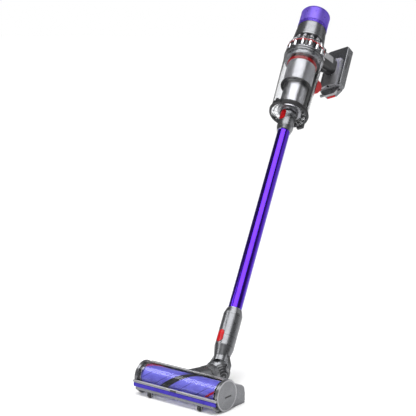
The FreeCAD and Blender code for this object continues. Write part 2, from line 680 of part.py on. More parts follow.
def build_battery():
    half, inner, outer = dim.battery_half, dim.battery_in, dim.battery_out
    wall = dim.battery_wall
    slab = box((-half, inner, dim.battery_low), (half, outer, dim.battery_high))
    slab = rounded(slab, 10.0, along_axis("y"))
    slab = rounded(slab, 2.0, lambda along, middle: abs(along.y) < 0.5)
    hollow = box((-half + wall, inner + wall, dim.battery_low + wall),
                 (half - wall, outer - wall, dim.battery_high - wall))
    nose = prism("nose", "XZ", [
        (-33, dim.battery_low + 3), (33, dim.battery_low + 3), (33, 1026),
        (dim.nose_half, dim.nose_low), (-dim.nose_half, dim.nose_low), (-33, 1026)],
        inner + 8, outer - 0.5)
    recess = rounded(box((-14.4, 149.8, 1000), (14.4, 157.9, 1017.5)), 3.9,
                     lambda along, middle: abs(along.z) > 0.999)
    pivots = rod(4.6, 74, (-37, 148.5, 1020), "x")
    case = fuse(cut(slab, hollow), cut(fuse(nose, pivots), hollow))
    make("battery_case", cut(case, recess), WAND)
    latch = rounded(box((-14, 150.2, 1008.6), (14, 157.5, 1015)), 3.5,
                    lambda along, middle: abs(along.z) > 0.999)
    make("battery_release_button", latch, WAND)

    tilt = Rotation(Vector(1, 0, 0), 45)
    bevel = doc.addObject("Part::Box", "bevel")
    bind(bevel, Length=80, Width=40, Height=40)
    stand(bevel, (-40, 107, 1128), tilt)
    keel = cut(spine_block(), rod(4.2, 16, (0, 128, 1030)), bevel)
    make("battery_spine", keel, WAND)
    jack = cut(rod(4.2, 13.8, (0, 128, 1031)), rod(dim.socket_radius, 10, (0, 128, 1031)))
    make("charging_socket", jack, WAND)
    pitch = 19.6
    start = (dim.battery_low + dim.battery_high) * 0.5 - pitch * 3
    cells = [rod(dim.cell_radius, dim.cell_length, (dim.cell_length * -0.5,
             (inner + outer) * 0.5, start + pitch * i), "x")
             for i in range(int(dim.cell_count.value))]
    make("battery_cells", fuse(*cells), WAND)


def check_and_export():
    """Stops on any failed object or bad solid, then writes one file for each piece."""
    doc.recompute()
    for obj in doc.Objects:
        if "Invalid" in obj.State or "Error" in obj.State:
            raise RuntimeError("%s (%s) failed: %s" % (obj.Name, obj.Label, obj.State))
    os.makedirs("parts", exist_ok=True)
    for obj in pieces:
        shape = obj.Shape
        if shape.isNull() or not shape.isValid() or not shape.Solids:
            raise RuntimeError("%s has no valid solid" % obj.Label)
        shape.exportStep(os.path.join("parts", obj.Label + ".step"))
        print("%-24s solids %2d  volume %9.1f mm3" % (
            obj.Label, len(shape.Solids), shape.Volume))
    print(len(pieces), "pieces")


build_head_shells()
build_head_front()
build_wheels()
build_roller()
build_neck()
build_yoke()
build_wand()
build_bin()
build_shroud()
build_cyclones()
build_motor()
build_filter()
build_handle()
build_battery()
check_and_export()
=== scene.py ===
"""Looks of a cordless stick vacuum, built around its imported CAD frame."""

import math
import random

import bmesh
import bpy
from mathutils import Matrix, Vector, noise


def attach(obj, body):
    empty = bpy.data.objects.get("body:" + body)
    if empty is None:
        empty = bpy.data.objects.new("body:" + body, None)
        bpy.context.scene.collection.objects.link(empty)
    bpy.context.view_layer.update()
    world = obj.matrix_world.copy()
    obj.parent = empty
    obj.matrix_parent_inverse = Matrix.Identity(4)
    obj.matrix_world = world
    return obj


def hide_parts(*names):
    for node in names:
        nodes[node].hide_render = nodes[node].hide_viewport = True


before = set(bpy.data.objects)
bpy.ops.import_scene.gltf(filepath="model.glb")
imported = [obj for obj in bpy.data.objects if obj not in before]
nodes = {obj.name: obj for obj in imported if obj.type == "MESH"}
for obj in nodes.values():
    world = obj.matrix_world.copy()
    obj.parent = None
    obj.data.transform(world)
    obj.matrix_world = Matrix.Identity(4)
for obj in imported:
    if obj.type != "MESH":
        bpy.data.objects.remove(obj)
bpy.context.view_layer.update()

# ------------------------------------------------------------------------------- frames
# Local frames hold millimetres; each matrix takes them to the CAD frame's metres.
MM = Matrix.Scale(0.001, 4)
LEAN, ROLL = math.radians(-42.36), math.radians(-16.58)
HEAD = Matrix.Translation((0, -0.045, 0.037)) @ MM          # centre of the brush roller
NECK = Matrix.Translation((0, 0.0815, 0.037)) @ Matrix.Rotation(ROLL, 4, "Y") @ MM
WAND = NECK @ Matrix.Rotation(LEAN, 4, "X")                 # z runs up the wand
GRIP = WAND @ Matrix.Translation((0, 46, 1081)) @ Matrix.Rotation(math.radians(-75.6), 4, "X")
AXLE = HEAD @ Matrix.Rotation(math.radians(90), 4, "Y")     # z runs along the roller


# ---------------------------------------------------------------------------- materials
class Surface:
    """A procedural material: one Principled surface whose patterns are nodes in millimetres."""

    def __init__(self, name, space=HEAD, **sockets):
        self.material = bpy.data.materials.new(name)
        self.material.use_nodes = True
        self.tree = self.material.node_tree
        self.shader = self.tree.nodes["Principled BSDF"]
        for label, value in sockets.items():
            self.shader.inputs[label.replace("_", " ")].default_value = value
        self.place = self.local(space)

    def node(self, kind, output=0, inputs=None, **settings):
        """Adds a node and gives its output; inputs are numbers or other nodes' outputs."""
        made = self.tree.nodes.new("ShaderNode" + kind)
        for label, value in settings.items():
            setattr(made, label, value)
        for key, value in (inputs or {}).items():
            if isinstance(value, bpy.types.NodeSocket):
                self.tree.links.new(value, made.inputs[key])
            else:
                made.inputs[key].default_value = value
        return made.outputs[output]

    def local(self, space):
        """Object coordinates in a local frame, in millimetres."""
        back = space.inverted()
        place = self.node("TexCoord", "Object")
        return self.node("Mapping", 0, {
            "Vector": place, "Location": back.to_translation(),
            "Rotation": back.to_euler(), "Scale": back.to_scale()})

    def noise(self, size, detail):
        """Soft noise whose features are about this many millimetres across."""
        return self.node("TexNoise", "Fac", {
            "Vector": self.place, "Scale": 1 / size, "Detail": detail})

    def cells(self, size):
        """A random colour for each cell about this many millimetres across."""
        return self.node("TexVoronoi", "Color", {
            "Vector": self.place, "Scale": 1 / size}, feature="F1")

    def math(self, operation, a, b=0.0, c=0.0):
        return self.node("Math", 0, {0: a, 1: b, 2: c}, operation=operation)

    def span(self, value, low, high, start=0.0, end=1.0):
        """Maps a value from one span to another, clamped."""
        return self.node("MapRange", 0, {
            "Value": value, "From Min": start, "From Max": end, "To Min": low, "To Max": high})

    def mix(self, factor, a, b):
        made = self.tree.nodes.new("ShaderNodeMix")
        made.data_type = "RGBA"
        for key, value in (("Factor", factor), ("A", a), ("B", b)):
            socket = [s for s in made.inputs if s.name == key and s.type != "VECTOR"
                      and (key == "Factor" or s.type == "RGBA")][0]
            if isinstance(value, bpy.types.NodeSocket):
                self.tree.links.new(value, socket)
            else:
                socket.default_value = value
        return [s for s in made.outputs if s.type == "RGBA"][0]

    def axis(self, letter, value):
        return self.node("SeparateXYZ", letter, {0: value})

    def colour(self, value):
        self.tree.links.new(value, self.shader.inputs["Base Color"])

    def rough(self, value):
        self.tree.links.new(value, self.shader.inputs["Roughness"])

    def bump(self, height, strength, depth):
        """Relief of this depth in millimetres."""
        made = self.node("Bump", 0, {
            "Height": height, "Strength": strength, "Distance": depth * 0.001})
        self.tree.links.new(made, self.shader.inputs["Normal"])


def rgb(red, green, blue):
    """A colour given as it looks on screen, from 0 to 255, as linear light."""
    def linear(part):
        part /= 255
        return part / 12.92 if part <= 0.04045 else ((part + 0.055) / 1.055) ** 2.4
    return (linear(red), linear(green), linear(blue), 1.0)


def moulded(name, light, dark, rough, space=WAND, grain=0.6, depth=0.008, **sockets):
    """Moulded plastic: a slow drift of tone, fine flake, and a moulded grain."""
    skin = Surface(name, space, **sockets)
    drift = skin.noise(28, 2)
    speck = skin.axis("X", skin.cells(0.35))
    tone = skin.math("MULTIPLY_ADD", speck, 0.12, skin.math("MULTIPLY", drift, 0.88))
    skin.colour(skin.mix(skin.span(tone, 0, 1, 0.2, 0.8), dark, light))
    wipe = skin.noise(9, 4)
    skin.rough(skin.span(wipe, rough - 0.03, rough + 0.05, 0.3, 0.7))
    skin.bump(skin.noise(grain, 2), 0.3, depth)
    return skin.material


def build_materials():
    finish = {}
    finish["iron_plastic"] = moulded(
        "iron_plastic", rgb(126, 127, 130), rgb(110, 111, 114), 0.28, Metallic=0.85)
    finish["nickel_plastic"] = moulded(
        "nickel_plastic", rgb(166, 166, 169), rgb(152, 152, 156), 0.3, Metallic=0.85)
    finish["black_plastic"] = moulded(
        "black_plastic", rgb(38, 38, 40), rgb(24, 24, 26), 0.38, grain=0.7, depth=0.04)
    finish["black_gloss"] = moulded(
        "black_gloss", rgb(30, 30, 33), rgb(16, 16, 18), 0.12, grain=2, depth=0.01,
        Coat_Weight=0.4, Coat_Roughness=0.05)
    finish["black_rubber"] = moulded(
        "black_rubber", rgb(44, 44, 46), rgb(28, 28, 30), 0.55, grain=0.5, depth=0.05)
    finish["grip_grey"] = moulded(
        "grip_grey", rgb(176, 176, 178), rgb(150, 150, 153), 0.5, grain=0.9, depth=0.12)
    finish["red_plastic"] = moulded(
        "red_plastic", rgb(196, 14, 22), rgb(160, 5, 12), 0.3, grain=1.5, depth=0.01,
        Specular_IOR_Level=0.3)
    finish["chrome_plastic"] = moulded(
        "chrome_plastic", rgb(220, 220, 224), rgb(196, 196, 200), 0.1, grain=3, depth=0.01,
        Metallic=1.0)
    finish["silver_metal"] = moulded(
        "silver_metal", rgb(190, 190, 193), rgb(172, 172, 176), 0.3, Metallic=1.0)
    finish["steel"] = moulded(
        "steel", rgb(190, 190, 192), rgb(160, 160, 163), 0.25, Metallic=1.0)
    finish["motor_metal"] = moulded(
        "motor_metal", rgb(96, 96, 99), rgb(70, 70, 73), 0.4, Metallic=0.8)
    finish["cell_wrap"] = moulded("cell_wrap", rgb(60, 130, 110), rgb(40, 96, 84), 0.35)
    finish["board_green"] = moulded("board_green", rgb(34, 110, 62), rgb(20, 78, 44), 0.4)
    finish["filter_cloth"] = moulded(
        "filter_cloth", rgb(226, 222, 232), rgb(196, 190, 206), 0.85, grain=0.6, depth=0.2)
    finish["filter_purple"] = moulded(
        "filter_purple", rgb(150, 128, 232), rgb(122, 92, 216), 0.3, Metallic=0.7)
    finish["purple_anodised"] = moulded(
        "purple_anodised", rgb(84, 44, 190), rgb(74, 36, 176), 0.2, Metallic=1.0)
    finish["violet_pile"] = moulded(
        "violet_pile", rgb(118, 116, 228), rgb(76, 70, 190), 0.42, HEAD, grain=0.5, depth=0.2,
        Metallic=0.35, Coat_Weight=0.7, Coat_Roughness=0.3)
    finish["violet_felt"] = moulded(
        "violet_felt", rgb(66, 52, 176), rgb(46, 34, 140), 0.9, HEAD, grain=0.5, depth=0.3)
    # The nap's seams: a deeper violet copy of the nap, painted shade in the creases between nap panels.
    finish["seam_shade_violet"] = moulded(
        "seam_shade_violet", rgb(44, 38, 120), rgb(26, 22, 84), 0.8, HEAD, grain=0.5, depth=0.2)
    finish["filter_deep"] = moulded(
        "filter_deep", rgb(84, 48, 196), rgb(56, 26, 150), 0.3, Metallic=0.5)
    finish["display_glow"] = moulded(
        "display_glow", rgb(225, 228, 240), rgb(200, 205, 225), 0.3, grain=2, depth=0.01)
    clear = Surface("clear_plastic", WAND, Transmission_Weight=1.0, IOR=1.2, Roughness=0.02)
    clear.shader.inputs["Base Color"].default_value = (0.97, 0.975, 0.985, 1)
    clear.bump(clear.noise(12, 2), 0.2, 0.02)
    finish["clear_plastic"] = clear.material
    return finish


finish = build_materials()


# ------------------------------------------------------------------------------- shapes
def circle(steps, phase=0.0):
    """Evenly spaced (cosine, sine) pairs round a circle."""
    turns = [2 * math.pi * (i + phase) / steps for i in range(steps)]
    return [(math.cos(t), math.sin(t)) for t in turns]


def skin(rows, mark=None):
    """Faces over rows of points, each row closed on itself; mark picks each face's material."""
    mesh = bmesh.new()
    made = [[mesh.verts.new(point) for point in row] for row in rows]
    for i in range(len(rows) - 1):
        count = len(rows[i])
        for j in range(count):
            k = (j + 1) % count
            face = mesh.faces.new((made[i][j], made[i][k], made[i + 1][k], made[i + 1][j]))
            if mark:
                face.material_index = mark(i, j)
    return mesh


def welded(mesh):
    bmesh.ops.remove_doubles(mesh, verts=mesh.verts, dist=1e-4)
    bmesh.ops.recalc_face_normals(mesh, faces=mesh.faces)
    return mesh


def lathe(outline, steps=96):
    """A closed outline of (radius, height) points turned about z."""
    return welded(skin([[(radius * c, radius * s, height) for c, s in circle(steps)]
                        for radius, height in outline + outline[:1]]))


def swept(outline, first, last, steps=96):
    """A closed outline turned about z from one angle to another, with its two ends filled."""
    turns = [math.radians(first + (last - first) * i / steps) for i in range(steps + 1)]
    mesh = skin([[(radius * math.cos(t), radius * math.sin(t), height)
                  for radius, height in outline] for t in turns])
    bmesh.ops.holes_fill(mesh, edges=mesh.edges)
    bmesh.ops.recalc_face_normals(mesh, faces=mesh.faces)
    return mesh


def hoop(radius, thick, turn=Matrix(), steps=72, sides=10):
    """A round-section ring about z, then turned into place."""
    rows = []
    for c, s in circle(steps) + circle(steps)[:1]:
        rows.append([turn @ Vector((c * (radius + thick * p), s * (radius + thick * p),
                                    thick * q)) for p, q in circle(sides)])
    return welded(skin(rows))


def block(low, high):
    """A box between two corners, to be joined with others and bevelled."""
    low, high = Vector(low), Vector(high)
    mesh = bmesh.new()
    size = Matrix.Diagonal((*(high - low), 1))
    bmesh.ops.create_cube(mesh, size=1, matrix=Matrix.Translation((low + high) / 2) @ size)
    return mesh


def spike(foot, tip, thick):
    """A thin tapering bristle from its foot to its tip."""
    foot, tip = Vector(foot), Vector(tip)
    mesh = bmesh.new()
    middle = Matrix.Translation((foot + tip) / 2)
    turn = (tip - foot).to_track_quat("Z", "Y").to_matrix().to_4x4()
    bmesh.ops.create_cone(mesh, cap_ends=True, segments=4, radius1=thick,
                          radius2=thick * 0.35, depth=(tip - foot).length,
                          matrix=middle @ turn)
    return mesh


def joined(parts):
    whole = bmesh.new()
    for part in parts:
        holder = bpy.data.meshes.new("part")
        part.to_mesh(holder)
        part.free()
        whole.from_mesh(holder)
        bpy.data.meshes.remove(holder)
    return whole


def around(count, build, phase=0.0):
    """Copies of a shape spaced evenly about z."""
    parts = []
    for i in range(count):
        part = build()
        part.transform(Matrix.Rotation(2 * math.pi * (i + phase) / count, 4, "Z"))
        parts.append(part)
    return joined(parts)


def piece(name, mesh, space, body, *slots, bevel=0.0, flat=40):
    """Finishes a shape made in a local frame: places it, rides it on a body and paints it."""
    mesh.transform(space)
    data = bpy.data.meshes.new(name)
    mesh.to_mesh(data)
    mesh.free()
    for slot in slots:
        data.materials.append(finish[slot])
    data.shade_smooth()
    data.set_sharp_from_angle(angle=math.radians(flat))
    obj = bpy.data.objects.new(name, data)
    bpy.context.collection.objects.link(obj)
    if bevel:
        edge = obj.modifiers.new("edge", "BEVEL")
        edge.width, edge.segments = bevel * 0.001, 2
        edge.limit_method, edge.angle_limit = "ANGLE", math.radians(35)
    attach(obj, body)
    return obj


# ------------------------------------------------------------------------- cleaner head
ROLLER_HALF, NAP_RADIUS, CORE_RADIUS = 109.0, 28.4, 24.0
STRIP_PERIOD, STRIP_TURN = 125.0, 250.0      # spacing of the strips, and advance per turn
CARBON_START, CARBON_HALF, RED_HALF = -34.0, 12.0, 4.0
SEAMS = (46.0, 97.0)


def roller_point(x, angle, radius):
    return Vector((x, -radius * math.cos(angle), radius * math.sin(angle)))


def strip_offset(x, angle):
    """How far along the axle a place lies after the last carbon strip, up to one turn."""
    return (x - CARBON_START - STRIP_TURN * angle / (2 * math.pi)) % STRIP_TURN


def strip_at(x, angle):
    """0 on the soft nap, 1 on the carbon strip, 2 on the red strip, 3 in a seam, which is painted
    darker as shade.
    """
    after = strip_offset(x, angle)
    if min(after, STRIP_TURN - after) < CARBON_HALF:
        return 1
    if abs(after - STRIP_PERIOD) < RED_HALF:
        return 2
    return 3 if any(abs(after % STRIP_PERIOD - seam) < 0.9 for seam in SEAMS) else 0


def build_roller():
    """The soft roller: nap in panels, with one carbon and one red bristle strip in a spiral."""
    rounds, spans = 300, 200
    xs = [ROLLER_HALF * (2 * i / spans - 1) for i in range(spans + 1)]
    angles = [2 * math.pi * j / rounds for j in range(rounds)]
    rise = {0: 0.0, 1: 0.5, 2: 0.6, 3: -0.9}

    def radius(x, angle):
        spot = roller_point(x, angle, NAP_RADIUS) * 0.55
        fuzz = noise.noise(spot) * 0.5 + noise.noise(spot * 3) * 0.35
        drop = max(0.0, abs(x) - ROLLER_HALF + 2) * 0.7
        return NAP_RADIUS + rise[strip_at(x, angle)] + fuzz - drop

    rows = [[roller_point(x, t, radius(x, t)) for t in angles] for x in xs]
    for end, x in ((0, xs[0]), (len(rows) + 1, xs[-1])):
        rows.insert(end, [roller_point(x, t, CORE_RADIUS) for t in angles])

    def mark(i, j):
        return strip_at(xs[min(max(i - 1, 0), spans)], angles[j])

    nap = skin(rows, mark)
    bmesh.ops.recalc_face_normals(nap, faces=nap.faces)
    # Seam faces take the deeper violet: painted shade in the seam creases.
    obj = piece("roller_nap", nap, HEAD, "roller", "violet_pile", "black_rubber",
                "red_plastic", "seam_shade_violet", flat=180)
    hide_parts("roller_pile")

    dice = random.Random(4)
    for name, slot, start, half, reach, step, lanes in (
            ("carbon_bristles", "black_rubber", CARBON_START, CARBON_HALF, 31.6, 1.5, 6),
            ("red_bristles", "red_plastic", CARBON_START + STRIP_PERIOD, RED_HALF, 32.4, 1.1, 3)):
        tufts = []
        for i in range(int(2 * (ROLLER_HALF - 1) / step)):
            for lane in range(lanes):
                x = -ROLLER_HALF + 1 + step * i
                aside = half * (2 * (lane + 0.5) / lanes - 1) + dice.uniform(-0.4, 0.4)
                angle = 2 * math.pi * (x - aside - start) / STRIP_TURN
                lean = dice.uniform(-0.012, 0.012)
                tufts.append(spike(roller_point(x, angle, NAP_RADIUS - 1),
                                   roller_point(x + dice.uniform(-0.4, 0.4), angle + lean,
                                                reach - dice.uniform(0, 0.5)), 0.32))
        piece(name, joined(tufts), HEAD, "roller", slot, flat=180)

    rings = [lathe([(20.4, low), (31, low), (31.6, low + 0.4), (31.6, low + 1.2), (31, low + 1.6),
                    (20.4, low + 1.6)]) for low in (-110.9, 109.3)]
    piece("roller_end_rings", joined(rings), AXLE, "roller", "steel")


def build_felt():
    """The felt strip under the front bar, with a fuzzy face."""
    low, high, round_off = Vector((0, -42, -17)), Vector((0, -37.3, -7.7)), 1.2
    spans = 420
    outline = []
    for corner_y, corner_z, first in ((high.y, high.z, 0), (low.y, high.z, 90),
                                      (low.y, low.z, 180), (high.y, low.z, 270)):
        inward_y = round_off if corner_y == low.y else -round_off
        inward_z = round_off if corner_z == low.z else -round_off
        for part in range(4):
            t = math.radians(first + 30 * part)
            outline.append((corner_y + inward_y + round_off * math.cos(t),
                            corner_z + inward_z + round_off * math.sin(t)))
    dense = []
    for (ay, az), (by, bz) in zip(outline, outline[1:] + outline[:1]):
        parts = max(1, round(math.dist((ay, az), (by, bz)) / 0.8))
        dense += [(ay + (by - ay) * k / parts, az + (bz - az) * k / parts)
                  for k in range(parts)]
    middle_y, middle_z = (low.y + high.y) / 2, (low.z + high.z) / 2
    rows = []
    for i in range(spans + 1):
        x = 122.6 * (2 * i / spans - 1)
        row = []
        for y, z in dense:
            push = 1 + 0.07 * noise.noise(Vector((x, y, z)) * 0.8)
            row.append((x, middle_y + (y - middle_y) * push, middle_z + (z - middle_z) * push))
        rows.append(row)
    felt = skin(rows)
    for end in (0, -1):
        bmesh.ops.contextual_create(felt, geom=[
            e for e in felt.edges if e.is_boundary
            and all((v.co.x < 0) == (end == 0) for v in e.verts)])
    bmesh.ops.recalc_face_normals(felt, faces=felt.faces)
    obj = piece("felt_pile", felt, HEAD, "head", "violet_felt", flat=180)
    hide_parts("felt_strip")


def build_head_details():
    build_felt()
    # A black block at the bottom of the coin slot: painted shade for the slot's dark inside.
    slot_shade = block((1.7, -7.9, 123.25), (5.5, 15.9, 124.7))
    piece("coin_slot_shade_floor", slot_shade, AXLE, "end_cap", "black_rubber", bevel=0.2)
    rims = [lathe([(33.2, x), (36.6, x), (36.6, x + side * 1.0), (33.2, x + side * 1.0)])
            for x, side in ((124.2, 1), (-124.2, -1))]
    piece("end_cap_rim_right", rims[0], AXLE, "end_cap", "nickel_plastic", bevel=0.3)
    piece("end_cap_rim_left", rims[1], AXLE, "head", "nickel_plastic", bevel=0.3)

    swivel = Matrix.Rotation(math.radians(-90), 4, "X")        # z to +y
    collar = joined([hoop(25.6, 0.9, swivel @ Matrix.Translation((0, 0, 77.9))),
                     hoop(24.4, 0.7, swivel @ Matrix.Translation((0, 0, 79.2)))])
    piece("swivel_ring", collar, HEAD, "head", "black_gloss")
    notch = joined([block((-9, -43.1, -6.6), (9, -42.3, -2.0)),
                    block((-121, -43.0, -4.6), (-10, -42.4, -4.0)),
                    block((10, -43.0, -4.6), (121, -42.4, -4.0))])
    piece("front_bar_groove", notch, HEAD, "head", "black_gloss", bevel=0.15)
    seams = joined([block((x - 0.35, 41, -30), (x + 0.35, 74.7, -12.6)) for x in (-60, 60)]
                   + [block((-120.6, 74.1, -22.4), (120.6, 74.75, -21.8))])
    piece("rear_box_seams", seams, HEAD, "head", "black_rubber", bevel=0.1)
    tyres = []
    for x in (-75, 75):
        for shift in (-2.2, 0, 2.2):
            tyres.append(hoop(5.55, 0.42, Matrix.Translation((x + shift, -37, -31))
                              @ Matrix.Rotation(math.radians(90), 4, "Y"), 40, 8))
    piece("wheel_tread_left", joined(tyres[:3]), HEAD, "wheel_left", "black_rubber")
    piece("wheel_tread_right", joined(tyres[3:]), HEAD, "wheel_right", "black_rubber")


# --------------------------------------------------------------------------------- neck
BALL_SEAT = 28.4            # the ribs' centre line in the ball, so that they clear the yoke


def build_gaiter():
    """Nested ribs on both cheeks of the ball, like a pleated gaiter."""
    ribs, cheeks = [], []
    for side in (1, -1):
        aim = Vector((0.82 * side, 0, -0.55)).normalized()
        turn = aim.to_track_quat("Z", "Y").to_matrix().to_4x4()
        for polar in (66, 54, 42, 30, 18):
            t = math.radians(polar)
            ribs.append(hoop(BALL_SEAT * math.sin(t), 2.95,
                             turn @ Matrix.Translation((0, 0, BALL_SEAT * math.cos(t))), 60, 8))
        cheek = [(t, BALL_SEAT + 2.64 + 0.04 * math.cos(t * 40)) for t in
                 (math.radians(4 + 1.5 * i) for i in range(40))]
        rows = [[turn @ Vector((c * r * math.sin(t), s * r * math.sin(t), r * math.cos(t)))
                 for c, s in circle(72)] for t, r in cheek]
        cheeks.append(skin(rows))
    # The ribs are lighter iron plastic on the black rubber cheeks: a painted highlight standing for the
    # lit rib crests.
    piece("neck_gaiter_ribs", joined(ribs), WAND, "neck", "iron_plastic")
    piece("neck_gaiter_cheeks", joined(cheeks), WAND, "neck", "black_rubber")
    duct = [hoop(25.0, 0.5, Matrix.Rotation(math.radians(-90), 4, "X")
                 @ Matrix.Translation((0, 0, y))) for y in (-44, -40, -36)]
    piece("neck_duct_bands", joined(duct), NECK, "neck", "iron_plastic")


# --------------------------------------------------------------------------------- wand
def button_ribs(name, centre, radius, body):
    bars = [block((-5.2, -radius - 1.25, centre + z - 0.55), (5.2, -radius + 1.2, centre + z + 0.55))
            for z in (-6, -3, 0, 3, 6)]
    piece(name, joined(bars), WAND, body, "red_plastic", bevel=0.25)


def build_wand_details():
    button_ribs("head_button_ribs", 88, 24.5, "head_button")
    button_ribs("wand_button_ribs", 802, 23, "wand_button")
    lines = [lathe([(radius - 0.6, z), (radius + 0.12, z), (radius + 0.12, z + wide),
                    (radius - 0.6, z + wide)])
             for radius, z, wide in ((24.5, 65.4, 0.8), (24.5, 152.0, 0.6),
                                     (23, 770.0, 0.6), (23, 821.7, 0.7))]
    lines.append(swept([(23.9, 91.6), (24.62, 91.6), (24.62, 92.3), (23.9, 92.3)], -64, 244))
    piece("sleeve_seams", joined(lines), WAND, "main", "black_gloss")
    trims = [lathe([(17.6, low), (radius, low), (radius + 0.3, low + 0.6), (radius, low + 1.2),
                    (17.6, low + 1.2)]) for radius, low in ((19.6, 172.9), (19.3, 753.6))]
    piece("tube_end_trims", joined(trims), WAND, "main", "steel")
    surrounds = []
    for centre, radius in ((88, 24.5), (802, 23)):
        rim = []
        for c, s in circle(48):
            x, z = 9.6 * c, 8.4 * s + (8.4 if s > 0 else -8.4)
            rim.append(Vector((x, -math.sqrt(radius ** 2 - x * x), centre + z)))
        rows = []
        for point in rim + rim[:1]:
            outward = Vector((point.x, point.y, 0)).normalized()
            along = Vector((0, 0, 1))
            rows.append([point + outward * (0.55 * p) + along * (0.55 * q) for p, q in circle(8)])
        surrounds.append(welded(skin(rows)))
    piece("button_surrounds", joined(surrounds), WAND, "main", "black_gloss")


# ----------------------------------------------------------------------------- dust bin
BIN_FLOOR, BIN_TOP = 819.0, 1022.0
BIN_LOW_RADIUS, BIN_TOP_RADIUS = 53.0, 57.5


def lattice(name, radius, low, high, rounds, body, slot, thick):
    """A woven grille round a wall: staggered cells turned into wires."""
    rise = 2 * math.pi * radius / rounds * 0.87
    count = max(1, round((high - low) / rise))
    rows = [[(radius * c, radius * s, low + (high - low) * i / count)
             for c, s in circle(rounds, 0.5 * (i % 2))] for i in range(count + 1)]
    obj = piece(name, skin(rows), WAND, body, slot)
    wires = obj.modifiers.new("wires", "WIREFRAME")
    wires.thickness = thick * 0.001
    wires.use_even_offset = False
    return obj


def build_bin_details():
    floor = BIN_FLOOR
    fins = around(16, lambda: block((25, -0.7, floor - 1.3), (49.6, 0.7, floor + 0.2)))
    piece("bin_base_fins", fins, WAND, "main", "clear_plastic", bevel=0.3)
    bands = [lathe([(50.2, floor - 2.2), (54.9, floor - 2.2), (56.1, floor - 0.4),
                    (54.4, floor - 1.0), (50.2, floor - 1.2)]),
             hoop(25.0, 1.3, Matrix.Translation((0, 0, floor - 0.6))),
             hoop(56.0, 0.9, Matrix.Translation((0, 0, floor + 4.5)))]
    piece("bin_base_bands", joined(bands), WAND, "main", "black_rubber")
    latch = joined([block((-8, 55, 819.5), (8, 58.6, 824)), block((-5, 57.4, 821), (5, 60.4, 829)),
                    block((-10, 55, 821), (-7.4, 59.4, 831)), block((7.4, 55, 821), (10, 59.4, 831))])
    piece("bin_latch", latch, WAND, "main", "black_plastic", bevel=0.8)
    hinge = joined([block((-12, -60, 816), (12, -54.5, 826)), block((-4, -61.4, 819), (4, -56, 831))])
    piece("bin_base_clip", hinge, WAND, "main", "black_plastic", bevel=0.8)
    # A black sheet on the back of the clear bin: painted shade seen through the bin's wall.
    shade = swept([(BIN_LOW_RADIUS + 0.35, 832), (BIN_LOW_RADIUS + 0.65, 832),
                   (BIN_TOP_RADIUS + 0.45, 1020.5), (BIN_TOP_RADIUS + 0.15, 1020.5)], 52, 128, 38)
    piece("bin_back_shade_sheet", shade, WAND, "main", "black_gloss")
    top_bead = joined([hoop(57.0, 0.8, Matrix.Translation((0, 0, BIN_TOP - 1.2))),
                       hoop(56.9, 0.45, Matrix.Translation((0, 0, BIN_TOP - 7)))])
    piece("bin_top_beads", top_bead, WAND, "main", "clear_plastic")
    guide = joined([block((-8.4, 62.2, z), (8.4, 63.1, z + 1.2)) for z in range(846, 946, 12)])
    piece("runner_ribs", guide, WAND, "main", "black_plastic", bevel=0.2)
    pads = joined([block((-7, 90.5 - 0.25 * i, 988 + 3 * i - 3), (7, 94.6 - 0.9 * i, 989.2 + 3 * i - 3))
                   for i in range(4)])
    piece("lever_ribs", pads, WAND, "bin_lever", "red_plastic", bevel=0.25)
    lattice("shroud_weave", 41.2, 925, 995.6, 110, "main", "silver_metal", 0.55)
    skirt = joined([lathe([(34.3, 924), (41.2, 924), (44.6, 921.6), (45.0, 917.6), (43.6, 916.4),
                           (42.6, 918.6), (41.0, 920.4), (34.3, 920.8)]),
                    hoop(44.7, 0.5, Matrix.Translation((0, 0, 919.4)))])
    flange = piece("skirt_flange", skirt, WAND, "main", "black_rubber")
    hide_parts("shroud_skirt")
    seal = joined([hoop(42.4, 0.6, Matrix.Translation((0, 0, z))) for z in (998.2, 1001.5, 1004.8)])
    piece("shroud_ring_beads", seal, WAND, "main", "red_plastic")


# --------------------------------------------------------------------- cyclones and top
CYCLONES, CYCLONE_RING, GASKET = 14, 51.0, 1059.0


def build_cyclone_details():
    scrolls = around(CYCLONES, lambda: joined([
        block((47, -3.3, 1038.4), (56.4, 3.3, 1057.4)),
        block((49, -4.4, 1052.6), (57.4, 4.4, 1057.6))]))
    piece("cyclone_scrolls", scrolls, WAND, "main", "black_gloss", bevel=0.9)
    lean = Matrix.Rotation(math.radians(-19.5), 4, "Y")
    foot = Matrix.Translation((CYCLONE_RING, 0, GASKET + 1))

    def collars():
        return joined([hoop(7.55, 0.55, foot @ lean @ Matrix.Translation((0, 0, 2.4)), 28, 8),
                       hoop(6.35, 0.5, foot @ lean @ Matrix.Translation((0, 0, 17)), 28, 8),
                       hoop(5.75, 0.5, foot @ lean @ Matrix.Translation((0, 0, 25)), 28, 8)])
    piece("cyclone_collars", around(CYCLONES, collars, 0.5), WAND, "main", "chrome_plastic")
    caps = around(CYCLONES, lambda: hoop(
        7.9, 0.6, Matrix.Translation((CYCLONE_RING, 0, 1041.5)), 28, 8), 0.5)
    piece("cyclone_foot_rings", caps, WAND, "main", "chrome_plastic")
    wedges = around(CYCLONES, lambda: joined([
        block((38.5, -1.6, 1061.5), (48.5, 1.6, 1071)), block((36.5, -1.3, 1071), (43.6, 1.3, 1086))]))
    piece("cyclone_webs", wedges, WAND, "main", "black_gloss", bevel=0.4)
    ribs = lathe([(58.0, 1026.6), (59.1, 1027.2), (59.1, 1029.4), (58.0, 1030.0)])
    piece("bin_collar_band", ribs, WAND, "main", "black_rubber")


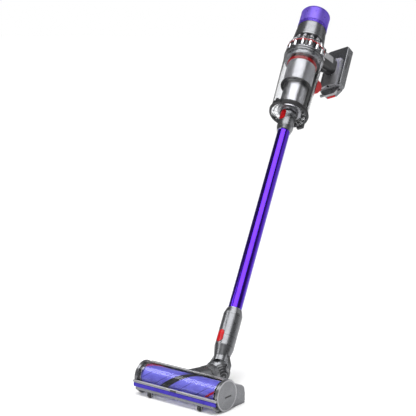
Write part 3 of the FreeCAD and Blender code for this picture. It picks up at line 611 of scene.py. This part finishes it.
def build_top_details():
    lattice("filter_grille", 43.2, 1156.5, 1202, 132, "filter", "filter_purple", 0.6)
    lattice("filter_grille_fine", 42.75, 1157, 1202, 180, "filter", "filter_deep", 0.35)
    bands = joined([lathe([(43.0, low), (43.9, low + 0.3), (43.9, low + 1.1), (43.0, low + 1.4)])
                    for low in (1148.6, 1153.6, 1203.2)])
    piece("filter_bands", bands, WAND, "filter", "filter_deep")
    foot = lathe([(43.5, 1146.8), (43.9, 1147.2), (43.9, 1156.6), (43.3, 1157.4),
                  (43.1, 1157.4), (43.1, 1154.4), (43.5, 1153.6)])
    piece("filter_foot_band", foot, WAND, "filter", "filter_deep")
    grips = around(36, lambda: block((43.0, -0.6, 1149.8), (44.3, 0.6, 1153.4)))
    piece("filter_grip_ribs", grips, WAND, "filter", "filter_purple", bevel=0.25)
    bezel = joined([lathe([(26.1, 1208.4), (29.1, 1208.4), (29.1, 1209.1), (26.1, 1208.9)]),
                    hoop(25.2, 0.35, Matrix.Translation((0, 0, 1209.5)))])
    piece("display_bezel", bezel, WAND, "main", "steel")
    halo = hoop(5.0, 0.35, Matrix.Translation((0, -19.5, 1209.5)))
    piece("mode_button_ring", halo, WAND, "main", "steel")
    screen = joined([block((x - 0.5, y - 3, 1209.45), (x + 0.5, y + 3, 1209.7))
                     for x, y in ((-6, 2), (-3, 2), (3, 2), (6, 2))]
                    + [block((-9, -8, 1209.45), (9, -7.3, 1209.7))])
    piece("display_marks", screen, WAND, "main", "display_glow", bevel=0.1)
    seam = joined([lathe([(46.9, 1092.6), (47.4, 1092.9), (47.4, 1094.1), (46.9, 1094.4)]),
                   lathe([(46.6, 1100.6), (47.0, 1100.9), (46.95, 1101.3), (46.5, 1101.5)]),
                   lathe([(42.7, 1144.2), (43.5, 1144.4), (43.5, 1145.7), (42.7, 1145.9)])])
    piece("motor_housing_bands", seam, WAND, "main", "black_gloss")


# -------------------------------------------------------------------- handle and battery
def build_handle_details():
    studs = []
    for side in (-1, 1):
        for i in range(11):
            for j in range(5):
                y, z = -22 + 4 * j + (1 if i % 2 else -1) * 0.6, 20.5 + 4.1 * i
                turn = Matrix.Translation((side * 17.0, y, z)) @ Matrix.Rotation(
                    math.radians(90), 4, "Y")
                studs.append(hoop(0.75, 0.45, turn, 12, 6))
    piece("grip_studs", joined(studs), GRIP, "main", "grip_grey")
    ribs = joined([block((-6.4, 30.6, 19 + 4 * i), (6.4, 31.6, 20.4 + 4 * i)) for i in range(6)])
    piece("trigger_ribs", ribs, GRIP, "trigger", "black_gloss", bevel=0.3)
    back = joined([block((-11, -27.7, 20 + 6 * i), (11, -26.6, 21.4 + 6 * i)) for i in range(8)])
    piece("grip_back_ribs", back, GRIP, "main", "black_rubber", bevel=0.3)


BATTERY_IN, BATTERY_OUT, BATTERY_HALF = 133.0, 159.0, 39.5
BATTERY_LOW, BATTERY_HIGH, BATTERY_ROUND = 1029.0, 1187.0, 10.0


def battery_loop(inset, depth, thick):
    """A bead that follows the battery's rounded outline at a depth through it."""
    corner = BATTERY_ROUND - inset
    spots = []
    for sign_x, sign_z, first in ((1, 1, 0), (-1, 1, 90), (-1, -1, 180), (1, -1, 270)):
        x = sign_x * (BATTERY_HALF - BATTERY_ROUND)
        z = (BATTERY_HIGH - BATTERY_ROUND) if sign_z > 0 else (BATTERY_LOW + BATTERY_ROUND)
        for part in range(7):
            t = math.radians(first + 15 * part)
            out = Vector((math.cos(t), 0, math.sin(t)))
            spots.append((Vector((x, depth, z)) + out * corner, out))
    rows = [[spot + out * (thick * p) + Vector((0, thick * q, 0)) for p, q in circle(8)]
            for spot, out in spots + spots[:1]]
    return welded(skin(rows))


def build_battery_details():
    loops = joined([battery_loop(0.1, 145.0, 0.35), battery_loop(0.1, 154.6, 0.3),
                    battery_loop(3.6, 159.0, 0.35)])
    piece("battery_seams", loops, WAND, "main", "black_gloss")
    screws = []
    for x in (-30, 30):
        for z in (1042, 1174):
            turn = Matrix.Translation((x, 159.0, z)) @ Matrix.Rotation(math.radians(90), 4, "X")
            screws += [hoop(2.4, 0.5, turn, 24, 8), hoop(0.9, 0.4, turn, 18, 8)]
    piece("battery_screws", joined(screws), WAND, "main", "steel")
    vents = joined([block((side * 39.0, 138 + 2.4 * i, 1100), (side * 39.9, 139 + 2.4 * i, 1150))
                    for side in (-1, 1) for i in range(3)])
    piece("battery_vents", vents, WAND, "main", "black_plastic", bevel=0.15)
    grips = joined([block((-9 + 4 * i, 156.9, 1009.4), (-7 + 4 * i, 158.1, 1014.4))
                    for i in range(5)])
    piece("battery_latch_ribs", grips, WAND, "battery_button", "red_plastic", bevel=0.2)
    low, high = 141.3, 149.4
    facets = [(33, 1031.6), (33, 1026), (17, 1010), (-17, 1010), (-33, 1026), (-33, 1031.6)]
    rows = []
    for x, z in facets:
        out = Vector((x, 0, z - 1031.6)).normalized() * 0.6
        rows.append([(x - out.x, low, z - out.z), (x + out.x, low, z + out.z),
                     (x + out.x, high, z + out.z), (x - out.x, high, z - out.z)])
    nose = skin(rows)
    bmesh.ops.holes_fill(nose, edges=nose.edges)
    bmesh.ops.recalc_face_normals(nose, faces=nose.faces)
    piece("battery_nose_band", nose, WAND, "main", "nickel_plastic", bevel=0.2, flat=20)
    panel = [block((-31, 158.6, 1060 + 12 * i), (31, 159.5, 1061.2 + 12 * i)) for i in range(9)]
    piece("battery_back_ribs", joined(panel), WAND, "main", "iron_plastic", bevel=0.25)


def build_pieces():
    build_roller()
    build_head_details()
    build_gaiter()
    build_wand_details()
    build_bin_details()
    build_cyclone_details()
    build_top_details()
    build_handle_details()
    build_battery_details()


# -------------------------------------------------------------------------------- stage
def build_stage():
    bpy.ops.mesh.primitive_plane_add(size=80, location=(0, 0, -0.0005))
    floor = bpy.context.object
    floor.name = "studio_floor"
    pale = Surface("floor_paper", Roughness=0.9)
    pale.colour(pale.mix(pale.noise(40, 4), rgb(250, 250, 250), rgb(255, 255, 255)))
    floor.data.materials.append(pale.material)

    world = bpy.data.worlds.new("studio")
    bpy.context.scene.world = world
    world.use_nodes = True
    tree = world.node_tree
    back = tree.nodes["Background"]
    back.inputs["Color"].default_value = (1, 1, 1, 1)
    back.inputs["Strength"].default_value = 0.12
    seen = tree.nodes.new("ShaderNodeBackground")
    seen.inputs["Color"].default_value = (1, 1, 1, 1)
    pick = tree.nodes.new("ShaderNodeMixShader")
    ray = tree.nodes.new("ShaderNodeLightPath")
    tree.links.new(ray.outputs["Is Camera Ray"], pick.inputs[0])
    tree.links.new(back.outputs[0], pick.inputs[1])
    tree.links.new(seen.outputs[0], pick.inputs[2])
    tree.links.new(pick.outputs[0], tree.nodes["World Output"].inputs["Surface"])


CAMERA_AT = Vector((1.5905, -1.9850, 0.8816))
CAMERA_AZIMUTH, CAMERA_DOWN = math.radians(38.09), math.radians(9.6)


def build_camera():
    lens = bpy.data.cameras.new("camera")
    lens.lens = 96.5
    camera = bpy.data.objects.new("camera", lens)
    bpy.context.collection.objects.link(camera)
    camera.location = CAMERA_AT
    camera.rotation_euler = (math.pi / 2 - CAMERA_DOWN, 0, CAMERA_AZIMUTH)
    bpy.context.scene.camera = camera


def softbox(name, centre, direction, distance, width, height, power):
    """A rectangular lamp out along a direction from a point, facing back at it."""
    lamp = bpy.data.lights.new(name, "AREA")
    lamp.shape = "RECTANGLE"
    lamp.size, lamp.size_y = width, height
    lamp.energy = power
    holder = bpy.data.objects.new(name, lamp)
    bpy.context.collection.objects.link(holder)
    back = Vector(direction).normalized()
    across = Vector((0, 0, 1)).cross(back).normalized()
    turn = Matrix((across, back.cross(across), back)).transposed().to_4x4()
    holder.matrix_world = Matrix.Translation(Vector(centre) + back * distance) @ turn


def build_lights():
    """A very wide overhead key, mirrored by the wand's cylinders as one bright stripe."""
    up_wand = (WAND.to_3x3() @ Vector((0, 0, 1))).normalized()
    sight = (WAND @ Vector((0, 0, 1000)) - CAMERA_AT).normalized()
    facing = (-sight + sight.dot(up_wand) * up_wand).normalized()
    mirrored = sight - 2 * sight.dot(facing) * facing
    key_way = Matrix.Rotation(math.radians(-16), 3, up_wand) @ mirrored
    key = bpy.data.lights.new("key_sun", "SUN")
    key.energy = 3.1
    key.angle = math.radians(60)
    holder = bpy.data.objects.new("key_sun", key)
    bpy.context.collection.objects.link(holder)
    holder.rotation_euler = key_way.to_track_quat("Z", "Y").to_euler()
    softbox("back_right_softbox", (-0.1, 0.5, 0.6), (0.6, 0.78, 0.19), 1.8, 1.2, 1.6, 5)
    softbox("front_softbox", (0, 0, 0.1), (0.1, -1.0, 0.35), 1.6, 1.6, 0.5, 12)
    softbox("roller_softbox", (0, -0.05, 0.06), (-0.61, -0.3, 0.73), 1.2, 0.7, 0.35, 4)


build_pieces()
build_stage()
build_camera()
build_lights()
bpy.context.scene.view_settings.view_transform = "Standard"

for name, obj in nodes.items():
    slot_names = [s.material.name.split(".")[0] for s in obj.material_slots if s.material]
    for index, slot_name in enumerate(slot_names):
        if slot_name in finish:
            obj.material_slots[index].material = finish[slot_name]
